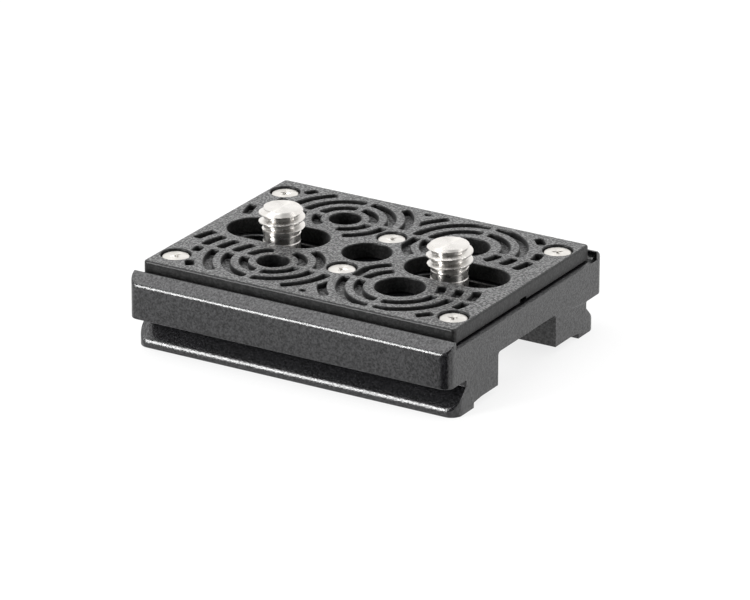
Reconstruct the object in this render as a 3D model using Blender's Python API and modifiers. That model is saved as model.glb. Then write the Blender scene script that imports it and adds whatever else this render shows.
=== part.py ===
"""Quick release plate for a camera: a dovetail plate, a moulded grip pad and two sliding camera screws.

Metres, +Z up. X runs along the dovetail, and the origin is the middle of the plane the two feet stand on.
"""
import math

import bmesh
import bpy
from mathutils import Matrix

MM = 0.001

# Plate: one extrusion, 38 mm over the dovetail, flanks at 45 degrees
PLATE_LENGTH = 50.0 * MM
FLANGE_WIDTH = 41.8 * MM
DOVETAIL_WIDTH = 38.0 * MM
DOVETAIL_LIP_HEIGHT = 1.5 * MM
DOVETAIL_DEPTH = 2.7 * MM
NECK_STRAIGHT = 0.5 * MM
CHANNEL_WIDTH = 15.5 * MM
CHANNEL_HEIGHT = 5.7 * MM
CHANNEL_FILLET = 0.8 * MM
FOOT_WIDTH = 4.85 * MM
FOOT_STEP = 0.75 * MM
RECESS_RISE = 0.22 * MM
RECESS_RUN = 1.95 * MM
WEB_THICKNESS = 4.3 * MM
TROUGH_DEPTH = 1.05 * MM
TROUGH_FILLET = 0.8 * MM
TROUGH_LIP = 0.3 * MM
SHOULDER_RUN = 1.6 * MM
SHOULDER_RISE = 1.55 * MM
EDGE_RADIUS = 0.35 * MM
FOOT_BEVEL = 0.2 * MM
CORNER_RADIUS = 1.35 * MM

# Slots for the camera screws, and how far from its slot's middle each screw stands
SLOT_BRIDGE = 14.0 * MM
SLOT_END_WALL = 3.9 * MM
SLOT_CLEARANCE = 0.15 * MM
LEFT_SCREW_SHIFT = 0.55 * MM
RIGHT_SCREW_SHIFT = -1.15 * MM

# Grip pad
PAD_END_LEDGE = 0.75 * MM
PAD_SIDE_GAP = 0.8 * MM
PAD_THICKNESS = 2.1 * MM
PAD_SEAT_GAP = 0.2 * MM
PAD_CORNER_RADIUS = 0.75 * MM
PAD_EDGE_RADIUS = 0.3 * MM
PAD_SLOT_MARGIN = 0.58 * MM
CENTRE_HOLE_DIAMETER = 6.9 * MM
PRY_NOTCH_WIDTH = 1.7 * MM
PRY_NOTCH_HEIGHT = 0.5 * MM
PRY_NOTCH_DEPTH = 0.6 * MM

# Ring grooves: each hole of the pad stands in rings of its own, cut by ribs along X and Y
LEFT_HOLE_X = -9.1 * MM
LEFT_HOLE_Y = 9.35 * MM
LEFT_HOLE_DIAMETER = 4.5 * MM
LEFT_FIRST_RING_RADIUS = 4.0 * MM
LEFT_RINGS = 5
LEFT_WHOLE_RINGS = 3
RIGHT_HOLE_X = 10.3 * MM
RIGHT_HOLE_Y = 8.6 * MM
RIGHT_HOLE_DIAMETER = 6.9 * MM
RIGHT_FIRST_RING_RADIUS = 5.6 * MM
RIGHT_RINGS = 3
RING_PITCH = 2.42 * MM
RING_WIDTH = 1.2 * MM
RING_DEPTH = 0.8 * MM
RIB_WIDTH = 1.0 * MM
OUTER_RIB_WIDTH = 4.1 * MM
FIELD_END_MARGIN = 0.95 * MM
FIELD_SIDE_MARGIN = 1.4 * MM
FIELD_SLOT_MARGIN = 1.5 * MM
FIELD_CENTRE_MARGIN = 1.3 * MM
FIELD_SCREW_RADIUS = 2.45 * MM
SHORTEST_GROOVE = 1.2 * MM
THINNEST_GROOVE = 0.1 * MM
SIDE_POCKET_LAND = 1.6 * MM
SIDE_POCKET_DEPTH = 1.0 * MM

# Pad screws: cross recess, pan head
PAD_SCREW_HEAD = 3.8 * MM
PAD_SCREW_RIM = 0.75 * MM
PAD_SCREW_DOME = 0.25 * MM
PAD_SCREW_SHANK = 2.0 * MM
PAD_SCREW_SUNK = 0.2 * MM
PAD_SCREW_RADIAL_GAP = 0.2 * MM
PAD_SCREW_SEAT_GAP = 0.2 * MM
PAD_SCREW_TIP_GAP = 0.3 * MM
PAD_SCREW_FLOOR = 0.9 * MM
CORNER_SCREW_END_INSET = 2.6 * MM
CORNER_SCREW_SIDE_INSET = 4.2 * MM
MIDDLE_SCREW_Y = 6.55 * MM
RECESS_SPAN = 2.0 * MM
RECESS_WING = 0.45 * MM
RECESS_DEPTH = 0.8 * MM

# Camera screws: quarter-inch thread, 20 turns to the inch
THREAD_DIAMETER = 6.35 * MM
THREAD_PITCH = 1.27 * MM
THREAD_STANDS_PROUD = 3.9 * MM
THREAD_TOP_CHAMFER = 0.62 * MM
THREAD_RUNOUT_HEIGHT = 0.4 * MM
NECK_DIAMETER = 5.0 * MM
NECK_SUNK = 0.8 * MM
SHANK_DIAMETER = 5.2 * MM
HEAD_INSET = 0.75 * MM
HEAD_HEIGHT = 2.6 * MM
HEAD_CHAMFER = 0.3 * MM
COIN_SLOT_WIDTH = 1.6 * MM
COIN_SLOT_DEPTH = 1.2 * MM

# Washers between the screw heads and the channel's ceiling
WASHER_SIDE_GAP = 1.5 * MM
WASHER_THICKNESS = 0.9 * MM
RUNNING_GAP = 0.3 * MM

ROUND_STEPS = 24
FILLET_STEPS = 3
RING_SAMPLES = 180
RING_FACET = 1.3 * MM
CUT_PAST = 1.0 * MM
WELD = 0.001 * MM

# Heights and half widths that follow from the sizes above
dovetail_half = DOVETAIL_WIDTH / 2
neck_half = dovetail_half - DOVETAIL_DEPTH
flange_half = FLANGE_WIDTH / 2
channel_half = CHANNEL_WIDTH / 2
plate_half = PLATE_LENGTH / 2
flange_underside = DOVETAIL_LIP_HEIGHT + DOVETAIL_DEPTH + NECK_STRAIGHT
floor_height = CHANNEL_HEIGHT + WEB_THICKNESS
rim_height = floor_height + TROUGH_DEPTH
trough_half = flange_half - SHOULDER_RUN - TROUGH_LIP
pad_half_length = plate_half - PAD_END_LEDGE
pad_half_width = trough_half - PAD_SIDE_GAP
pad_underside = floor_height + PAD_SEAT_GAP
pad_top = pad_underside + PAD_THICKNESS
slot_half_width = (THREAD_DIAMETER + SLOT_CLEARANCE) / 2
slot_inner_end = SLOT_BRIDGE / 2
slot_outer_end = plate_half - SLOT_END_WALL
slot_middle = (slot_inner_end + slot_outer_end) / 2
pad_slot_half_width = slot_half_width + PAD_SLOT_MARGIN
corner_screw_x = pad_half_length - CORNER_SCREW_END_INSET
corner_screw_y = pad_half_width - CORNER_SCREW_SIDE_INSET
washer_radius = channel_half - WASHER_SIDE_GAP
washer_top = CHANNEL_HEIGHT - RUNNING_GAP
head_top = washer_top - WASHER_THICKNESS - RUNNING_GAP

part_collection = None
cutter_collection = None


def make_collections():
    global part_collection, cutter_collection
    for old in list(bpy.data.objects):
        bpy.data.objects.remove(old)
    part_collection = bpy.data.collections.new("quick_release_plate")
    cutter_collection = bpy.data.collections.new("cutters")
    for made in (part_collection, cutter_collection):
        bpy.context.scene.collection.children.link(made)


def finish_material(name, colour, metallic, roughness):
    material = bpy.data.materials.new(name)
    material.use_nodes = True
    shader = material.node_tree.nodes["Principled BSDF"]
    shader.inputs["Base Color"].default_value = (*colour, 1.0)
    shader.inputs["Metallic"].default_value = metallic
    shader.inputs["Roughness"].default_value = roughness
    return material


def add_object(name, mesh, collection):
    made = bpy.data.objects.new(name, mesh)
    collection.objects.link(made)
    if collection is cutter_collection:
        made.hide_render = True
        made.display_type = "WIRE"
    return made


def mesh_from(bm, name):
    mesh = bpy.data.meshes.new(name)
    bm.to_mesh(mesh)
    bm.free()
    return mesh


def evaluated_mesh(source):
    """The object's shape with its modifiers applied, welded."""
    bpy.context.view_layer.update()
    graph = bpy.context.evaluated_depsgraph_get()
    mesh = bpy.data.meshes.new_from_object(source.evaluated_get(graph))
    bm = bmesh.new()
    bm.from_mesh(mesh)
    bmesh.ops.remove_doubles(bm, verts=bm.verts, dist=WELD)
    bmesh.ops.recalc_face_normals(bm, faces=bm.faces)
    bm.to_mesh(mesh)
    bm.free()
    return mesh


def arc(cx, cy, radius, start, end, steps):
    """Points on an arc, both ends included. Angles in degrees."""
    angles = [math.radians(start + (end - start) * i / steps) for i in range(steps + 1)]
    return [(cx + radius * math.cos(a), cy + radius * math.sin(a)) for a in angles]


def prism(name, outline, low, high, collection=None):
    """A flat outline in X and Y, as a filled curve with thickness from height low to height high."""
    curve = bpy.data.curves.new(name, "CURVE")
    curve.dimensions = "2D"
    curve.fill_mode = "BOTH"
    curve.extrude = (high - low) / 2
    spline = curve.splines.new("POLY")
    spline.points.add(len(outline) - 1)
    for point, (x, y) in zip(spline.points, outline):
        point.co = (x, y, 0, 1)
    spline.use_cyclic_u = True
    holder = bpy.data.objects.new(name, curve)
    bpy.context.scene.collection.objects.link(holder)
    mesh = evaluated_mesh(holder)
    bpy.data.objects.remove(holder)
    mesh.transform(Matrix.Translation((0, 0, (low + high) / 2)))
    mesh.name = name
    return add_object(name, mesh, collection or cutter_collection)


def cylinder(name, x, y, radius, low, high):
    bm = bmesh.new()
    place = Matrix.Translation((x, y, (low + high) / 2))
    bmesh.ops.create_cone(bm, cap_ends=True, segments=ROUND_STEPS, radius1=radius, radius2=radius,
                          depth=high - low, matrix=place)
    return add_object(name, mesh_from(bm, name), cutter_collection)


def box(name, low, high):
    bm = bmesh.new()
    bmesh.ops.create_cube(bm, size=1.0)
    for vertex in bm.verts:
        for axis in range(3):
            vertex.co[axis] = high[axis] if vertex.co[axis] > 0 else low[axis]
    return add_object(name, mesh_from(bm, name), cutter_collection)


def joined(name, pieces):
    """Solids that don't meet, as one mesh, for one cut."""
    bm = bmesh.new()
    for piece in pieces:
        bm.from_mesh(piece.data)
        bpy.data.objects.remove(piece)
    return add_object(name, mesh_from(bm, name), cutter_collection)


def cut(target, tool, tool_overlaps=False):
    """Cuts a solid with another, whose own pieces may overlap where a size has been changed."""
    step = target.modifiers.new("cut", "BOOLEAN")
    step.operation = "DIFFERENCE"
    step.solver = "EXACT"
    step.use_self = tool_overlaps
    step.object = tool


def bevel(target, width, segments, chosen):
    """Rounds the edges that chosen(edge) picks, on the object's own mesh."""
    bm = bmesh.new()
    bm.from_mesh(target.data)
    edges = [edge for edge in bm.edges if chosen(edge)]
    bmesh.ops.bevel(bm, geom=edges, offset=width, segments=segments, affect="EDGES", profile=0.5)
    bm.to_mesh(target.data)
    bm.free()


def merge_flats(target):
    """Joins the triangles of each flat face, so that a bevel runs round the face's edge."""
    bm = bmesh.new()
    bm.from_mesh(target.data)
    bmesh.ops.dissolve_limit(bm, angle_limit=math.radians(0.5), verts=bm.verts, edges=bm.edges)
    bm.to_mesh(target.data)
    bm.free()


def turned(name, profile, steps, collection):
    """A profile of (radius, height) points from the top down, turned about Z."""
    bm = bmesh.new()
    line = [bm.verts.new((radius, 0, height)) for radius, height in profile]
    for first, second in zip(line, line[1:]):
        bm.edges.new((first, second))
    made = add_object(name, mesh_from(bm, name), collection)
    turn = made.modifiers.new("turn", "SCREW")
    turn.steps = turn.render_steps = steps
    turn.use_merge_vertices = True
    turn.merge_threshold = WELD
    turn.use_smooth_shade = True
    return made


def shade(target, material, sharp_angle=30):
    target.data.materials.clear()
    target.data.materials.append(material)
    target.data.shade_smooth()
    target.data.set_sharp_from_angle(angle=math.radians(sharp_angle))


def stadium(inner, outer, half_width, side):
    """A slot's outline along X with round ends, from x inner to x outer, on the side given."""
    near, far = sorted((side * inner, side * outer))
    steps = ROUND_STEPS // 2
    return (arc(far - half_width, 0, half_width, -90, 90, steps)
            + arc(near + half_width, 0, half_width, 90, 270, steps))


def rounded_rectangle(half_x, half_y, radius):
    corners = ((1, 1, 0), (-1, 1, 90), (-1, -1, 180), (1, -1, 270))
    outline = []
    for sx, sy, start in corners:
        outline += arc(sx * (half_x - radius), sy * (half_y - radius), radius, start, start + 90,
                       FILLET_STEPS)
    return outline


def edge_rounding(corner, before, after, radius):
    """An arc that rounds an outline's corner between two neighbouring points."""
    def unit(a, b):
        length = math.hypot(b[0] - a[0], b[1] - a[1])
        return (b[0] - a[0]) / length, (b[1] - a[1]) / length
    (ux, uy), (vx, vy) = unit(corner, before), unit(corner, after)
    opening = math.acos(ux * vx + uy * vy)
    along = radius / math.tan(opening / 2)
    middle = math.hypot(ux + vx, uy + vy)
    reach = radius / math.sin(opening / 2)
    cx = corner[0] + (ux + vx) / middle * reach
    cy = corner[1] + (uy + vy) / middle * reach
    start = math.atan2(corner[1] + uy * along - cy, corner[0] + ux * along - cx)
    end = math.atan2(corner[1] + vy * along - cy, corner[0] + vx * along - cx)
    turn = (end - start + math.pi) % (2 * math.pi) - math.pi
    return arc(cx, cy, radius, math.degrees(start), math.degrees(start + turn), FILLET_STEPS)


def plate_section():
    """Half of the extrusion's section, in Y and Z, from the channel's ceiling round to the trough's floor."""
    foot_inner = dovetail_half - FOOT_WIDTH
    recess_inner = foot_inner - RECESS_RUN
    recess_height = FOOT_STEP + RECESS_RISE
    shoulder_foot = rim_height - SHOULDER_RISE
    flank_top = DOVETAIL_LIP_HEIGHT + DOVETAIL_DEPTH
    corners = [
        (0, CHANNEL_HEIGHT, 0),
        (channel_half, CHANNEL_HEIGHT, CHANNEL_FILLET),
        (channel_half, recess_height, 0),
        (recess_inner, recess_height, 0),
        (foot_inner, FOOT_STEP, 0),
        (foot_inner, 0, 0),
        (dovetail_half, 0, FOOT_BEVEL),
        (dovetail_half, DOVETAIL_LIP_HEIGHT, EDGE_RADIUS),
        (neck_half, flank_top, 0),
        (neck_half, flange_underside, min(EDGE_RADIUS, NECK_STRAIGHT)),
        (flange_half, flange_underside, FOOT_BEVEL),
        (flange_half, shoulder_foot, EDGE_RADIUS),
        (trough_half + TROUGH_LIP, rim_height, 0),
        (trough_half, rim_height, 0),
        (trough_half, floor_height, TROUGH_FILLET),
        (0, floor_height, 0),
    ]
    outline = []
    for index, (y, z, radius) in enumerate(corners):
        if radius:
            before, after = corners[index - 1][:2], corners[index + 1][:2]
            outline += edge_rounding((y, z), before, after, radius)
        else:
            outline.append((y, z))
    return outline


def corner_cutter(side_x, side_y, half_width, low, high):
    """What a milled round corner takes off, between two heights."""
    reach_x, reach_y = plate_half + CUT_PAST, half_width + CUT_PAST
    rounding = arc(plate_half - CORNER_RADIUS, half_width - CORNER_RADIUS, CORNER_RADIUS, 0, 90, 6)
    outline = [(reach_x, half_width - CORNER_RADIUS)] + rounding
    outline += [(plate_half - CORNER_RADIUS, reach_y), (reach_x, reach_y)]
    outline = [(side_x * x, side_y * y) for x, y in outline]
    return prism("corner_cutter", outline, low, high)


def screw_places():
    """Where the six pad screws stand."""
    corners = [(sx * corner_screw_x, sy * corner_screw_y) for sy in (1, -1) for sx in (-1, 1)]
    return corners + [(0, MIDDLE_SCREW_Y), (0, -MIDDLE_SCREW_Y)]


def build_base_plate(material):
    half = plate_section()
    mirrored = [(-y, z) for y, z in reversed(half) if y > 0]
    plate = prism("base_plate", half + mirrored, -plate_half, plate_half, part_collection)
    stand_up = Matrix(((0, 0, 1, 0), (1, 0, 0, 0), (0, 1, 0, 0), (0, 0, 0, 1)))
    plate.data.transform(stand_up)
    merge_flats(plate)
    cutters = []
    lip_top = flange_underside - NECK_STRAIGHT / 2
    for side_x in (-1, 1):
        for side_y in (-1, 1):
            cutters.append(corner_cutter(side_x, side_y, dovetail_half, -CUT_PAST, lip_top))
            cutters.append(corner_cutter(side_x, side_y, flange_half, lip_top + WELD,
                                         rim_height + CUT_PAST))
        cutters.append(prism("slot_cutter", stadium(slot_inner_end, slot_outer_end, slot_half_width, side_x),
                             CHANNEL_HEIGHT - CUT_PAST, floor_height + CUT_PAST))
    hole_radius = PAD_SCREW_SHANK / 2 + PAD_SCREW_RADIAL_GAP
    for x, y in screw_places():
        cutters.append(cylinder("screw_hole", x, y, hole_radius, CHANNEL_HEIGHT + PAD_SCREW_FLOOR,
                                floor_height + CUT_PAST))
    cut(plate, joined("plate_cutters", cutters))
    shade(plate, material)


def field_is_clear(x, y):
    """Whether a ring groove may reach a point of the pad."""
    short_of_slot = slot_inner_end + slot_half_width - abs(x)
    past_slot = abs(x) - slot_outer_end + slot_half_width
    return (abs(x) <= pad_half_length - FIELD_END_MARGIN
            and abs(y) <= pad_half_width - FIELD_SIDE_MARGIN
            and math.hypot(max(short_of_slot, past_slot, 0), y) >= pad_slot_half_width + FIELD_SLOT_MARGIN
            and math.hypot(x, y) >= CENTRE_HOLE_DIAMETER / 2 + FIELD_CENTRE_MARGIN
            and all(math.hypot(x - sx, y - sy) >= FIELD_SCREW_RADIUS for sx, sy in screw_places()))


def clear_runs(is_clear):
    """The stretches of a quarter ring, from 0 to 1 along it, in which a test holds."""
    runs, inside = [], False
    for step in range(RING_SAMPLES + 1):
        along = step / RING_SAMPLES
        if not is_clear(along):
            inside = False
        elif inside:
            runs[-1][1] = along
        else:
            runs.append([along, along])
            inside = True
    return runs


def rival_limit(hole, angle, rival, reach):
    """How far from a hole a ray runs before it meets the rings round its rival."""
    dx, dy = rival[0] - hole[0], rival[1] - hole[1]
    along = dx * math.cos(angle) + dy * math.sin(angle)
    across_squared = dx * dx + dy * dy - along * along
    if along <= 0 or across_squared >= reach * reach:
        return math.inf
    return along - math.sqrt(reach * reach - across_squared)


def ring_grooves(hole, radius, quarters=(0, 1, 2, 3), rib=RIB_WIDTH, rival=None, reach=0,
                 keep_past=-math.inf):
    """Outlines of a ring round a hole: its clear stretches, with a rib along X and along Y between quarters.

    A ring whose inner edge stays inside the field's side is thinned there, and a wider one ends there.
    Where its outer edge would fall short of the x in keep_past, the ring runs straight along it.
    """
    inner, outer = radius - RING_WIDTH / 2, radius + RING_WIDTH / 2
    field_side = pad_half_width - FIELD_SIDE_MARGIN
    outlines = []
    for quarter in quarters:
        def edge_point(edge_radius, along):
            skip = math.asin(rib / 2 / edge_radius)
            angle = math.pi / 2 * (quarter + along) + skip * (1 - 2 * along)
            least_x = keep_past + outer - edge_radius
            if rival:
                edge_radius = min(edge_radius, rival_limit(hole, angle, rival, reach))
            if hole[1] + inner < field_side < hole[1] + edge_radius * math.sin(angle):
                edge_radius = (field_side - WELD - hole[1]) / math.sin(angle)
            x = max(hole[0] + edge_radius * math.cos(angle), least_x)
            return x, hole[1] + edge_radius * math.sin(angle)

        def is_clear(along):
            near, far = edge_point(inner, along), edge_point(outer, along)
            return math.dist(near, far) > THINNEST_GROOVE and field_is_clear(*near) and field_is_clear(*far)
        for first, last in clear_runs(is_clear):
            length = (last - first) * math.pi / 2 * radius
            if length < SHORTEST_GROOVE:
                continue
            steps = math.ceil(length / RING_FACET)
            stops = [first + (last - first) * step / steps for step in range(steps + 1)]
            outlines.append([edge_point(outer, stop) for stop in stops]
                            + [edge_point(inner, stop) for stop in reversed(stops)])
    return outlines


def side_pocket(left_hole, left_radius, right_hole, right_radius):
    """The small triangle between two holes' rings and the field's side, where the rings leave room for it."""
    left_reach = left_radius + RING_WIDTH / 2 + SIDE_POCKET_LAND
    right_reach = right_radius + RING_WIDTH / 2 + SIDE_POCKET_LAND
    apart = math.dist(left_hole, right_hole)
    along = (apart * apart + left_reach * left_reach - right_reach * right_reach) / (2 * apart)
    up_squared = left_reach * left_reach - along * along
    if up_squared <= 0:
        return []
    ux, uy = (right_hole[0] - left_hole[0]) / apart, (right_hole[1] - left_hole[1]) / apart
    up = math.sqrt(up_squared)
    apex = (left_hole[0] + ux * along - uy * up, left_hole[1] + uy * along + ux * up)
    side = min(pad_half_width - FIELD_SIDE_MARGIN, apex[1] + SIDE_POCKET_DEPTH)
    if side - apex[1] < THINNEST_GROOVE:
        return []
    left_corner = left_hole[0] + math.sqrt(left_reach ** 2 - (side - left_hole[1]) ** 2)
    right_corner = right_hole[0] - math.sqrt(right_reach ** 2 - (side - right_hole[1]) ** 2)
    return [[(left_corner, side), apex, (right_corner, side)]]


def ring_radii(first, count):
    return [first + RING_PITCH * i for i in range(count)]


def groove_outlines():
    """Every groove on the pad's +Y half."""
    left_hole, right_hole = (LEFT_HOLE_X, LEFT_HOLE_Y), (RIGHT_HOLE_X, RIGHT_HOLE_Y)
    left = ring_radii(LEFT_FIRST_RING_RADIUS, LEFT_RINGS)
    right = ring_radii(RIGHT_FIRST_RING_RADIUS, RIGHT_RINGS)
    left_reach = left[LEFT_WHOLE_RINGS - 1] + RING_WIDTH / 2 + RIB_WIDTH
    outlines = []
    for radius in left[:LEFT_WHOLE_RINGS]:
        outlines += ring_grooves(left_hole, radius)
    for radius in left[LEFT_WHOLE_RINGS:-1]:
        outlines += ring_grooves(left_hole, radius, quarters=(1, 2))
    outlines += ring_grooves(left_hole, left[-1], quarters=(2,), rib=OUTER_RIB_WIDTH)
    outlines += ring_grooves(right_hole, right[0])
    outlines += ring_grooves(right_hole, right[1], quarters=(0, 1, 3))
    outlines += ring_grooves(right_hole, right[1], quarters=(2,), keep_past=FIELD_SCREW_RADIUS + WELD)
    outlines += ring_grooves(right_hole, right[2], rival=left_hole, reach=left_reach)
    outlines += side_pocket(left_hole, left[LEFT_WHOLE_RINGS - 1], right_hole, right[-1])
    return outlines


def with_mirror_image(name, piece):
    """A cutter on the +Y side joined with its mirror image on the -Y side."""
    bm = bmesh.new()
    bm.from_mesh(piece.data)
    twin = bmesh.ops.duplicate(bm, geom=bm.verts[:] + bm.edges[:] + bm.faces[:])["geom"]
    for vertex in (item for item in twin if isinstance(item, bmesh.types.BMVert)):
        vertex.co.y = -vertex.co.y
    bmesh.ops.reverse_faces(bm, faces=[item for item in twin if isinstance(item, bmesh.types.BMFace)])
    bpy.data.objects.remove(piece)
    return add_object(name, mesh_from(bm, name), cutter_collection)


def build_grip_pad(material):
    """The ring grooves are laid out on the +Y half and mirrored on the other."""
    outline = rounded_rectangle(pad_half_length, pad_half_width, PAD_CORNER_RADIUS)
    pad = prism("grip_pad", outline, pad_underside, pad_top, part_collection)
    merge_flats(pad)

    def on_top_edge(edge):
        return all(abs(vertex.co.z - pad_top) < WELD for vertex in edge.verts)
    bevel(pad, PAD_EDGE_RADIUS, 2, on_top_edge)

    low, high = pad_underside - CUT_PAST, pad_top + CUT_PAST
    cutters = [
        cylinder("centre_hole", 0, 0, CENTRE_HOLE_DIAMETER / 2, low, high),
        box("pry_notch", (pad_half_length - PRY_NOTCH_DEPTH, -PRY_NOTCH_WIDTH / 2, low),
            (pad_half_length + CUT_PAST, PRY_NOTCH_WIDTH / 2, pad_underside + PRY_NOTCH_HEIGHT)),
    ]
    for side in (-1, 1):
        outline = stadium(slot_inner_end - PAD_SLOT_MARGIN, slot_outer_end + PAD_SLOT_MARGIN,
                          pad_slot_half_width, side)
        cutters.append(prism("pad_slot", outline, low, high))
        cutters.append(cylinder("left_hole", LEFT_HOLE_X, side * LEFT_HOLE_Y, LEFT_HOLE_DIAMETER / 2,
                                low, high))
        cutters.append(cylinder("right_hole", RIGHT_HOLE_X, side * RIGHT_HOLE_Y, RIGHT_HOLE_DIAMETER / 2,
                                low, high))
    seat = screw_seat() - PAD_SCREW_SEAT_GAP
    head_radius = PAD_SCREW_HEAD / 2 + PAD_SCREW_RADIAL_GAP
    shank_radius = PAD_SCREW_SHANK / 2 + PAD_SCREW_RADIAL_GAP
    head_holes = [cylinder("head_hole", x, y, head_radius, seat, high) for x, y in screw_places()]
    cutters += [cylinder("shank_hole", x, y, shank_radius, low, high) for x, y in screw_places()]
    cut(pad, joined("pad_cutters", cutters), tool_overlaps=True)
    cut(pad, joined("head_holes", head_holes))

    grooves = [prism("ring_groove", outline, pad_top - RING_DEPTH, high) for outline in groove_outlines()]
    cut(pad, with_mirror_image("groove_cutter", joined("ring_grooves", grooves)), tool_overlaps=True)
    shade(pad, material)


def screw_seat():
    """Height of the underside of a pad screw's head."""
    return pad_top - PAD_SCREW_SUNK - PAD_SCREW_DOME - PAD_SCREW_RIM


def build_pad_screws(material):
    """Pan heads with a cross recess, each an object of its own on one shared mesh."""
    rim_top = PAD_SCREW_RIM
    tip = CHANNEL_HEIGHT + PAD_SCREW_FLOOR + PAD_SCREW_TIP_GAP - screw_seat()
    profile = [
        (0, rim_top + PAD_SCREW_DOME),
        (PAD_SCREW_HEAD * 0.28, rim_top + PAD_SCREW_DOME * 0.8),
        (PAD_SCREW_HEAD * 0.42, rim_top + PAD_SCREW_DOME * 0.35),
        (PAD_SCREW_HEAD / 2, rim_top - PAD_SCREW_DOME),
        (PAD_SCREW_HEAD / 2, 0),
        (PAD_SCREW_SHANK / 2, 0),
        (PAD_SCREW_SHANK / 2, tip + PAD_SCREW_SHANK / 4),
        (PAD_SCREW_SHANK / 4, tip),
        (0, tip),
    ]
    pattern = turned("screw_pattern", profile, ROUND_STEPS, cutter_collection)
    top = rim_top + PAD_SCREW_DOME
    for span_x, span_y in ((RECESS_SPAN, RECESS_WING), (RECESS_WING, RECESS_SPAN)):
        wing = box("recess_wing", (-span_x / 2, -span_y / 2, top - RECESS_DEPTH),
                   (span_x / 2, span_y / 2, top + CUT_PAST))
        cut(pattern, wing)
    mesh = evaluated_mesh(pattern)
    mesh.name = "pad_screw"
    names = ("back_left", "back_right", "front_left", "front_right", "back_middle", "front_middle")
    for name, (x, y) in zip(names, screw_places()):
        screw = add_object("pad_screw_" + name, mesh, part_collection)
        screw.location = (x, y, screw_seat())
        shade(screw, material)


def thread_radius(height, angle, thread_top, runout):
    """Radius of a right-hand 60 degree thread, with a chamfer at its top and a run-out at its foot."""
    major = THREAD_DIAMETER / 2
    depth = 0.541 * THREAD_PITCH
    phase = (height / THREAD_PITCH - angle / (2 * math.pi)) % 1.0
    from_crest = min(phase, 1.0 - phase)
    crest_half, root_half = 1 / 16, 1 / 8
    flank = (from_crest - crest_half) / (0.5 - root_half - crest_half)
    radius = major - depth * min(max(flank, 0.0), 1.0)
    at_top = major - THREAD_TOP_CHAMFER + (thread_top - height)
    at_foot = NECK_DIAMETER / 2 + (height - runout) * 1.7
    return min(radius, at_top, max(at_foot, NECK_DIAMETER / 2))


def build_camera_screw(name, x, material):
    """A quarter-inch screw: head with a coin slot, shank, polished neck and a helical thread."""
    thread_top = pad_top + THREAD_STANDS_PROUD
    runout = pad_top + THREAD_RUNOUT_HEIGHT
    neck_foot = pad_top - NECK_SUNK
    head_radius = washer_radius - HEAD_INSET
    head_foot = head_top - HEAD_HEIGHT
    rows = math.ceil((thread_top - runout) / (THREAD_PITCH / 8))
    row_height = (thread_top - runout) / rows
    profile = [(0, thread_top)]
    profile += [(THREAD_DIAMETER / 2, thread_top - row_height * i) for i in range(rows + 1)]
    profile += [
        (NECK_DIAMETER / 2, runout - row_height),
        (NECK_DIAMETER / 2, neck_foot),
        (SHANK_DIAMETER / 2, neck_foot - (SHANK_DIAMETER - NECK_DIAMETER) / 2),
        (SHANK_DIAMETER / 2, head_top),
        (head_radius - HEAD_CHAMFER, head_top),
        (head_radius, head_top - HEAD_CHAMFER),
        (head_radius, head_foot + HEAD_CHAMFER),
        (head_radius - HEAD_CHAMFER, head_foot),
        (0, head_foot),
    ]
    blank = turned("screw_blank", profile, ROUND_STEPS, cutter_collection)
    mesh = evaluated_mesh(blank)
    bpy.data.objects.remove(blank)
    for vertex in mesh.vertices:
        radius = math.hypot(vertex.co.x, vertex.co.y)
        if radius > WELD and vertex.co.z > runout - row_height / 2:
            angle = math.atan2(vertex.co.y, vertex.co.x)
            scale = thread_radius(vertex.co.z, angle, thread_top, runout) / radius
            vertex.co.x *= scale
            vertex.co.y *= scale
    mesh.name = name
    screw = add_object(name, mesh, part_collection)
    screw.location.x = x
    slot = box("coin_slot", (x - COIN_SLOT_WIDTH / 2, -head_radius - CUT_PAST, head_foot - CUT_PAST),
               (x + COIN_SLOT_WIDTH / 2, head_radius + CUT_PAST, head_foot + COIN_SLOT_DEPTH))
    cut(screw, slot)
    shade(screw, material)


def build_slide_washer(name, x, material):
    """A flat washer that rides under the channel's ceiling and carries the screw along its slot."""
    bore = SHANK_DIAMETER / 2 + RUNNING_GAP
    bottom = washer_top - WASHER_THICKNESS
    washer = cylinder(name, 0, 0, washer_radius, bottom, washer_top)
    cutter_collection.objects.unlink(washer)
    part_collection.objects.link(washer)
    washer.hide_render = False
    washer.display_type = "TEXTURED"
    washer.location.x = x
    hole = cylinder("washer_bore", x, 0, bore, bottom - CUT_PAST, washer_top + CUT_PAST)
    cut(washer, hole)
    shade(washer, material)


def main():
    make_collections()
    anodised = finish_material("black_anodised_aluminium", (0.035, 0.034, 0.036), 0.7, 0.45)
    moulded = finish_material("moulded_pad", (0.045, 0.045, 0.045), 0.0, 0.75)
    steel = finish_material("bright_steel", (0.72, 0.71, 0.70), 1.0, 0.18)
    washer_steel = finish_material("washer_steel", (0.55, 0.55, 0.55), 1.0, 0.35)
    build_base_plate(anodised)
    build_grip_pad(moulded)
    build_pad_screws(steel)
    for side, sign, shift in (("left", -1, LEFT_SCREW_SHIFT), ("right", 1, RIGHT_SCREW_SHIFT)):
        x = sign * slot_middle + shift
        build_camera_screw(side + "_camera_screw", x, steel)
        build_slide_washer(side + "_slide_washer", x, washer_steel)


main()
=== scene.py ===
import math

import bmesh
import bpy
from bpy.props import FloatProperty, FloatVectorProperty, IntProperty, PointerProperty
from mathutils import Matrix, Vector


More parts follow.
